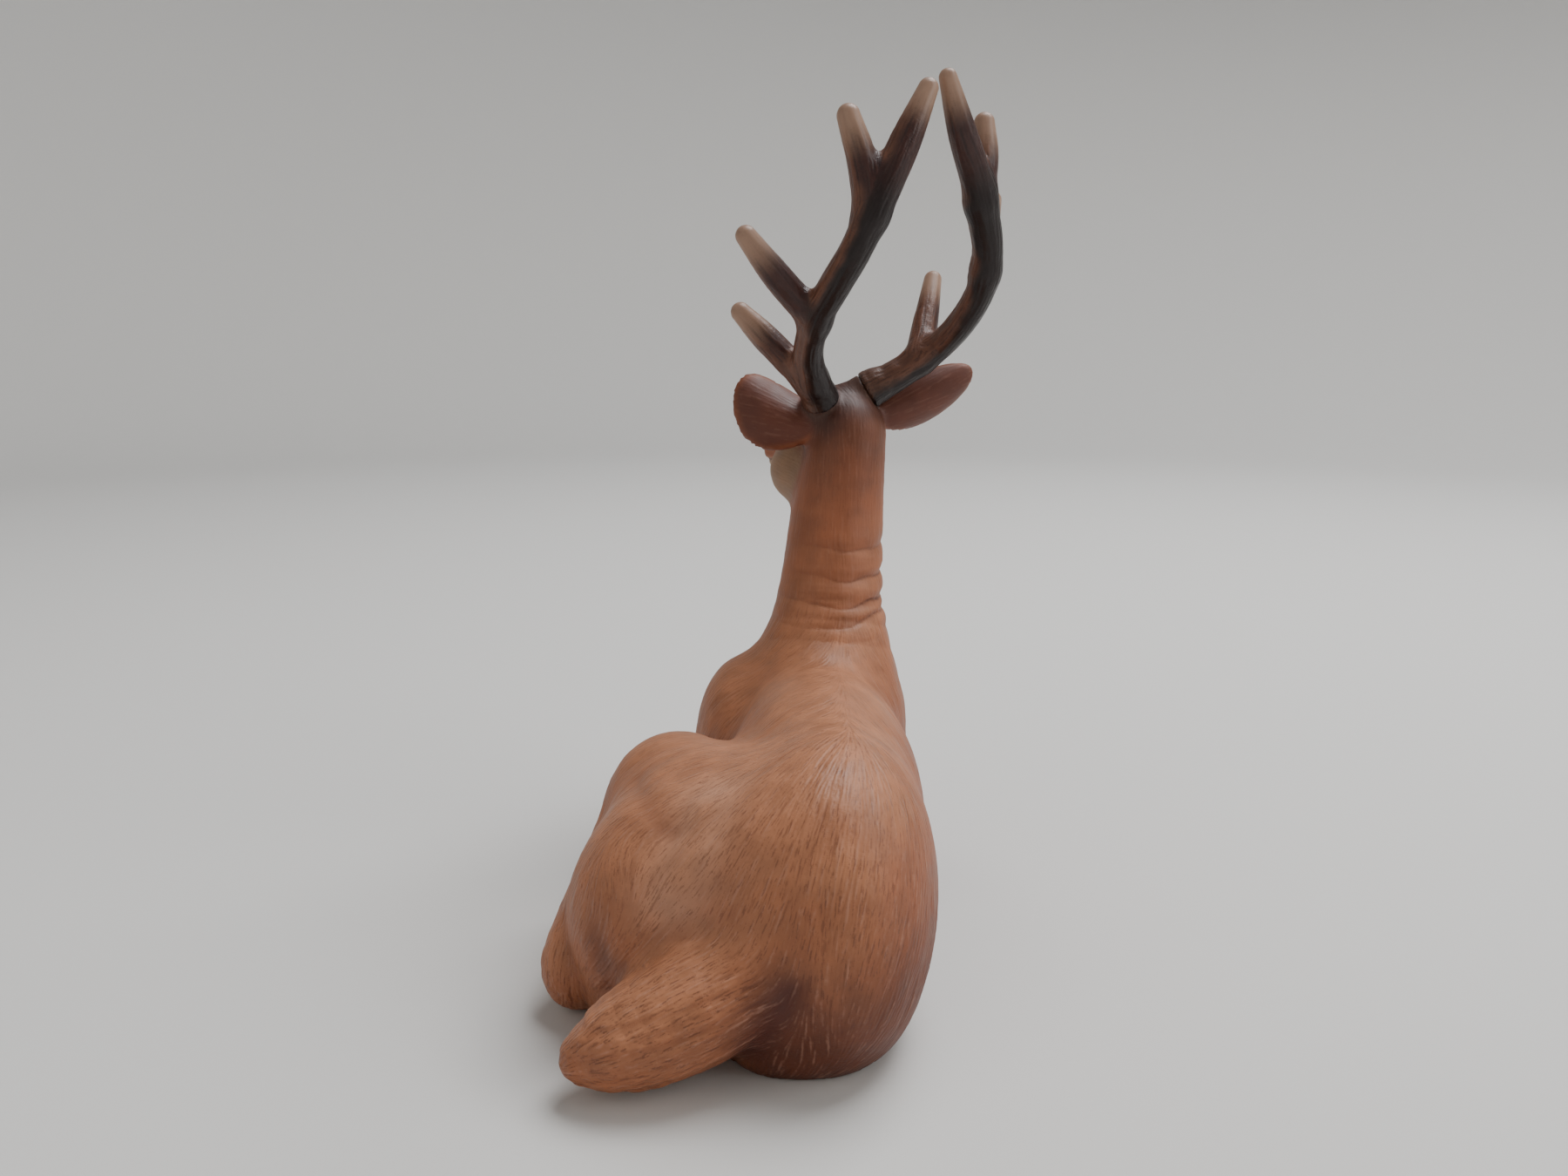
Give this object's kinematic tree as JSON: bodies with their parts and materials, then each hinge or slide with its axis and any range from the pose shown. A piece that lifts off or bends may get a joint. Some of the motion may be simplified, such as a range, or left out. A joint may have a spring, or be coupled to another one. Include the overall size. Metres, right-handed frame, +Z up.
{
  "type": "reclining deer statuette",
  "caption": "Small moulded statuette of a stag lying with its legs folded and its head turned, with branched antlers, flat underneath to stand on a shelf.",
  "frame": {"origin": "on the underside's plane, under the middle of the whole figure's box", "axes": "+Z up, the stag's front towards -Y, its left and its hind feet towards +X"},
  "size_m": [0.1084, 0.1626, 0.1991],
  "materials": {
    "coat": "matt hand-painted moulded plastic with incised hair",
    "antler": "satin moulded plastic, dark behind and pale at the tips"
  },
  "bodies": {
    "root": {"deer_body": "coat", "antler_left": "antler", "antler_right": "antler"}
  },
  "joints": []
}
